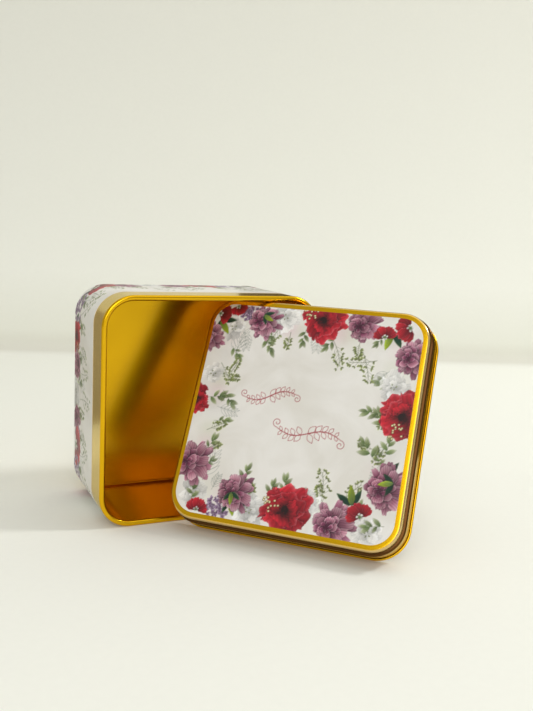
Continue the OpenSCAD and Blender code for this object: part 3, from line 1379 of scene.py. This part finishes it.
def settle(
    piece: bpy.types.Object, body: str, finish: bpy.types.Material, node: str | None = None
) -> None:
    """Dresses a piece, hangs it on its body and hides the CAD node that it stands for.

    Args:
        piece: The piece.
        body: The body that it moves with.
        finish: Its material.
        node: The CAD node that it replaces, if any.
    """
    piece.data.materials.append(finish)
    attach(piece, body)
    if node:
        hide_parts(node)
    LOG.info("%s: %d faces on %s", piece.name, len(piece.data.polygons), body)


@dataclass
class Lid:
    """The lid: one drawn, stepped and curled sheet, and the printed label on its face."""

    stock: Stock
    depth: float = 15.0
    skirt_r: float = 13.5
    step_out: float = 1.15
    face_bend_r: float = 1.3
    band_run: float = 2.6
    shoulder_r: float = 0.75
    groove_r: float = 0.45
    groove_angle: float = 50.0
    shoulder_angle: float = 80.0
    rim_d: float = 1.15
    skirt_half: float = 50.9
    label_half: float = 47.0

    def __post_init__(self) -> None:
        """Works out the lid's place from its label's node, and the sizes that follow."""
        self.corner = self.skirt_half - self.skirt_r
        self.path = SquarePath(self.corner)
        self.place = self.find_place()

    def find_place(self) -> Matrix:
        """The matrix that stands the lid where the CAD has it.

        Returns:
            The place of the middle of the face, with Z out of the face and X level.
        """
        mesh = bpy.data.objects["lid_label"].data
        out = max(mesh.polygons, key=lambda p: p.area).normal.copy()
        if out.y > 0:
            out.negate()
        right = Vector((-out.y, out.x, 0)).normalized()
        up = out.cross(right)
        spread = np.array([[v.co.dot(a) for a in (right, up, out)] for v in mesh.vertices])
        x, y = (spread.min(0) + spread.max(0))[:2] / 2
        z = spread[:, 2].min()
        turn = Matrix((right, up, out)).transposed().to_4x4()
        return Matrix.Translation(right * x + up * y + out * z) @ turn

    def build(self, vinyl: bpy.types.Material) -> None:
        """Makes the lid's pieces and dresses them.

        Args:
            vinyl: The finish of its label.
        """
        sheet, zones = self.shell()
        # the lid's sheet carries painted reflections and painted shade in its colour, zone by zone
        zoned = GoldLacquer("gold lacquered tinplate, rubbed lid edge", zones=zones).make()
        settle(sheet, "lid", zoned, "lid_shell")
        settle(self.label(), "lid", vinyl, "lid_label")

    def shell(self) -> tuple[bpy.types.Object, Zones]:
        """The drawn sheet: face, band, groove, shoulder, skirt and rim curl.

        Returns:
            The sheet, and the colours of its outer face: a painted pale reflection on the band, painted
            shade in the groove, and a painted dark reflection down the skirt and rim.
        """
        sheet = self.stock.sheet
        bends = self.shoulder_r + self.groove_r
        groove = math.radians(self.groove_angle)
        shoulder = math.radians(self.shoulder_angle)
        inward = bends * (1 - math.cos(groove))
        run = (self.step_out + inward - bends * (1 - math.cos(shoulder))) / math.sin(shoulder)
        skirt_x = self.skirt_r - sheet / 2
        rim_r = (self.rim_d - sheet) / 2
        skirt_top = (
            -self.face_bend_r - self.band_run - bends * (math.sin(groove) + math.sin(shoulder))
            - run * math.cos(shoulder)
        )
        face_x = skirt_x - self.step_out + sheet / 2 - self.face_bend_r
        strip = Strip(
            Place(face_x - PLATE_EDGE, -sheet / 2, 0),
            (Run(PLATE_EDGE), Bend(self.face_bend_r - sheet / 2, -90), Run(self.band_run, 3),
             Bend(self.shoulder_r, -self.groove_angle), Bend(self.groove_r, self.groove_angle),
             Bend(self.groove_r, self.shoulder_angle), Run(run),
             Bend(self.shoulder_r, -self.shoulder_angle),
             Run(skirt_top + self.depth - self.rim_d / 2, 4), Bend(rim_r, 270, 15.0)),
            sheet,
        )
        outline = strip.outline()
        step = -self.face_bend_r - self.band_run
        # painted light on the outer face: pale painted reflection on the band, dark painted shade in the
        # groove, darker gold as painted reflection on the skirt and rim
        zones = (
            (-0.02, GOLD), (-0.3, "#DCC08A"), (step + 0.1, "#C4A678"), (step - 0.4, "#4A2C0E"),
            (skirt_top + 0.4, "#5C3A12"), (skirt_top - 0.3, "#C28E22"),
            (self.rim_d - self.depth, "#B07C1C"), (0.3 - self.depth, "#A8741A"), (-self.depth, GOLD),
        )
        outer = slice(0, len(outline) // 2)
        return sweep("lid_sheet", self.path, outline, self.place, ring=False), bands(outline, outer, zones)

    def label(self) -> bpy.types.Object:
        """The printed label, a thin rounded square whose face carries the border of flowers.

        Returns:
            The label.
        """
        pitch, half, c = self.stock.label_pitch, self.label_half, self.corner
        count = 2 * math.ceil(half / pitch)
        line = np.linspace(-half, half, count + 1)
        x, y = np.meshgrid(line, line)
        x, y = self.round_corners(x, y, half - c)
        canvas = Canvas(x, y, 2 * half / count, slack=3.2)
        florist = Florist(canvas)
        florist.fillers(half, 9.0)
        for kind, blooms in LID_BORDER:
            for bloom in blooms:
                florist.plant(Planting(kind, *bloom))
        florist.scroll((-13.5, 7.0), width=28, turn=math.radians(8))
        florist.scroll((6.0, -7.0), width=34, turn=math.radians(-4))
        return self.label_mesh(x, y, canvas)

    def round_corners(self, x: np.ndarray, y: np.ndarray, radius: float) -> tuple[np.ndarray, np.ndarray]:
        """Draws the grid's corner blocks in so that its outline is a rounded square.

        Args:
            x: The grid's points across the label.
            y: The grid's points up it.
            radius: The corners' radius, in mm.

        Returns:
            The points, moved.
        """
        s = np.clip((np.abs(x) - self.corner) / radius, 0, 1)
        t = np.clip((np.abs(y) - self.corner) / radius, 0, 1)
        in_x = np.where((s > 0) & (t > 0), radius * (s - s * np.sqrt(1 - t * t / 2)), 0)
        in_y = np.where((s > 0) & (t > 0), radius * (t - t * np.sqrt(1 - s * s / 2)), 0)
        return x - np.sign(x) * in_x, y - np.sign(y) * in_y

    def label_mesh(self, x: np.ndarray, y: np.ndarray, canvas: Canvas) -> bpy.types.Object:
        """Turns the painted grid into a thin closed solid.

        Args:
            x: The grid's points across the label.
            y: The grid's points up it.
            canvas: The colours at those points.

        Returns:
            The label.
        """
        n = len(x)
        top = np.stack([x, y, np.full(x.shape, self.stock.vinyl)], 2).reshape(-1, 3)
        grid = np.arange(n * n).reshape(n, n)
        quads = np.stack([grid[:-1, :-1], grid[:-1, 1:], grid[1:, 1:], grid[1:, :-1]], 2).reshape(-1, 4)
        rim = np.concatenate([grid[0, :-1], grid[:-1, -1], grid[-1, :0:-1], grid[:0:-1, 0]])
        under = top[rim] * (1, 1, 0)
        low = n * n + np.arange(len(rim))
        ahead = np.roll(np.arange(len(rim)), -1)
        sides = np.stack([rim, low, low[ahead], rim[ahead]], 1)
        verts = np.concatenate([top, under])
        made = finish_mesh(
            "lid_print", verts, [*quads.tolist(), *sides.tolist(), low.tolist()], verts[:, :2], self.place
        )
        shown = np.concatenate([canvas.rgb.reshape(-1, 3), np.broadcast_to(Ink.EDGE.rgb, (len(rim), 3))])
        colour_points(made, shown)
        return made


# ---------------------------------------------------------------- the studio


@dataclass
class Studio:
    """A plain pale sweep of paper, soft lights, and the camera. Distances are in metres."""

    floor_tone: str = "#F0F0E7"
    room_tone: str = "#F7F7F5"
    room_light: float = 0.5
    wall_turn: float = -17.5
    wall_at: float = 0.4
    cove: float = 0.015
    reach: float = 3.0
    camera_at: Spot = (-0.12462, -0.34404, 0.13024)
    heading: float = 25.196
    down: float = 9.239
    roll: float = 2.743
    lens: float = 40.03

    def build(self) -> None:
        """Makes the paper, the lights and the camera."""
        bpy.context.scene.view_settings.view_transform = "Standard"
        self.sweep_paper()
        self.light_room()
        self.add_camera()

    def sweep_paper(self) -> None:
        """The paper: a floor that curves up into a wall some way behind the tin."""
        turns = np.linspace(0, math.pi / 2, 13)
        ahead = self.wall_at - self.cove + self.cove * np.sin(turns)
        height = self.cove * (1 - np.cos(turns))
        profile = [(-self.reach, 0.0), *zip(ahead, height), (self.wall_at, self.reach)]
        verts = [(x, y, z) for x in (-self.reach, self.reach) for y, z in profile]
        count = len(profile)
        faces = [(i, count + i, count + i + 1, i + 1) for i in range(count - 1)]
        paper = self.staged("paper", verts, faces)
        paper.data.transform(Matrix.Rotation(math.radians(self.wall_turn), 4, "Z"))
        paper.data.shade_smooth()
        paper.data.materials.append(StudioPaper("seamless paper", self.floor_tone).make())

    def staged(self, name: str, verts: Sequence[Spot], faces: Sequence[Sequence[int]]) -> bpy.types.Object:
        """An object that belongs to the stage.

        Args:
            name: Its name.
            verts: Its points, in metres.
            faces: The points of each face.

        Returns:
            The object.
        """
        mesh = bpy.data.meshes.new(name)
        mesh.from_pydata(verts, [], faces)
        made = bpy.data.objects.new(name, mesh)
        bpy.context.scene.collection.objects.link(made)
        return made

    def light_room(self) -> None:
        """A pale surround, a broad light overhead, a key from the right and a fill from the front."""
        world = bpy.data.worlds.new("room")
        bpy.context.scene.world = world
        world.use_nodes = True
        sky = world.node_tree.nodes["Background"]
        sky.inputs["Color"].default_value = paint_rgba(self.room_tone)
        sky.inputs["Strength"].default_value = self.room_light
        self.softbox("overhead light", at=(0.1, -0.25, 1.2), aim=(0, 0, 0), size=0.9, power=2.0)
        self.softbox("key light", at=(1.0, -0.34, 1.0), aim=(0, 0, 0.03), size=0.18, power=6.6)
        self.softbox("fill light", at=(-0.45, -1.05, 0.65), aim=(0, 0, 0.05), size=0.9, power=5.6)
        self.flag("right flag", "#2A1E10", at=(0.15, 0.03), turn=50, width=0.24, height=0.14)
        self.flag("left flag", "#A8A298", at=(-0.125, 0.125), turn=-25, width=0.16, height=0.11)

    def flag(self, name: str, tone: str, at: Point, turn: float, width: float, height: float) -> None:
        """Stands a card where only reflections find it, to give the metal some depth.

        Args:
            name: Its name.
            tone: Its colour.
            at: Where it stands, in metres.
            turn: Its turn about the vertical, clockwise from above, in degrees.
            width: Its width, in metres.
            height: Its height, in metres.
        """
        half = width / 2
        corners = [(-half, 0, 0), (half, 0, 0), (half, 0, height), (-half, 0, height)]
        card = self.staged(name, corners, [(0, 1, 2, 3)])
        card.data.transform(Matrix.Translation((*at, 0.001)) @ Matrix.Rotation(math.radians(-turn), 4, "Z"))
        card.data.materials.append(StudioPaper(name + " card", tone).make())
        card.visible_camera = False
        card.visible_diffuse = False
        card.visible_shadow = False
        card.visible_transmission = False

    def softbox(self, name: str, at: Spot, aim: Spot, size: float, power: float) -> None:
        """Hangs one square soft light.

        Args:
            name: Its name.
            at: Where it hangs, in metres.
            aim: The point that it faces, in metres.
            size: Its side, in metres.
            power: Its power, in watts.
        """
        lamp = bpy.data.lights.new(name, "AREA")
        lamp.size = size
        lamp.energy = power
        made = bpy.data.objects.new(name, lamp)
        made.location = at
        made.rotation_euler = (Vector(aim) - Vector(at)).to_track_quat("-Z", "Y").to_euler()
        bpy.context.scene.collection.objects.link(made)

    def add_camera(self) -> None:
        """Sets the camera a little left of the tin and above it, looking across its mouth."""
        lens = bpy.data.cameras.new("camera")
        lens.lens = self.lens
        lens.clip_start = 0.01
        made = bpy.data.objects.new("camera", lens)
        turn = (
            Matrix.Rotation(-math.radians(self.heading), 4, "Z")
            @ Matrix.Rotation(math.pi / 2 - math.radians(self.down), 4, "X")
            @ Matrix.Rotation(math.radians(self.roll), 4, "Z")
        )
        made.matrix_world = Matrix.Translation(self.camera_at) @ turn
        bpy.context.scene.collection.objects.link(made)
        bpy.context.scene.camera = made


def main() -> None:
    """Builds the tin around the frame."""
    logging.basicConfig(level=logging.INFO, format="%(name)s: %(message)s", stream=sys.stdout)
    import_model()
    stock = Stock()
    metal = GoldLacquer("gold lacquered tinplate").make()
    vinyl = PrintedVinyl("printed vinyl").make()
    TinBody(stock).build(metal, vinyl)
    Lid(stock).build(vinyl)
    Studio().build()


if __name__ == "__main__":
    main()
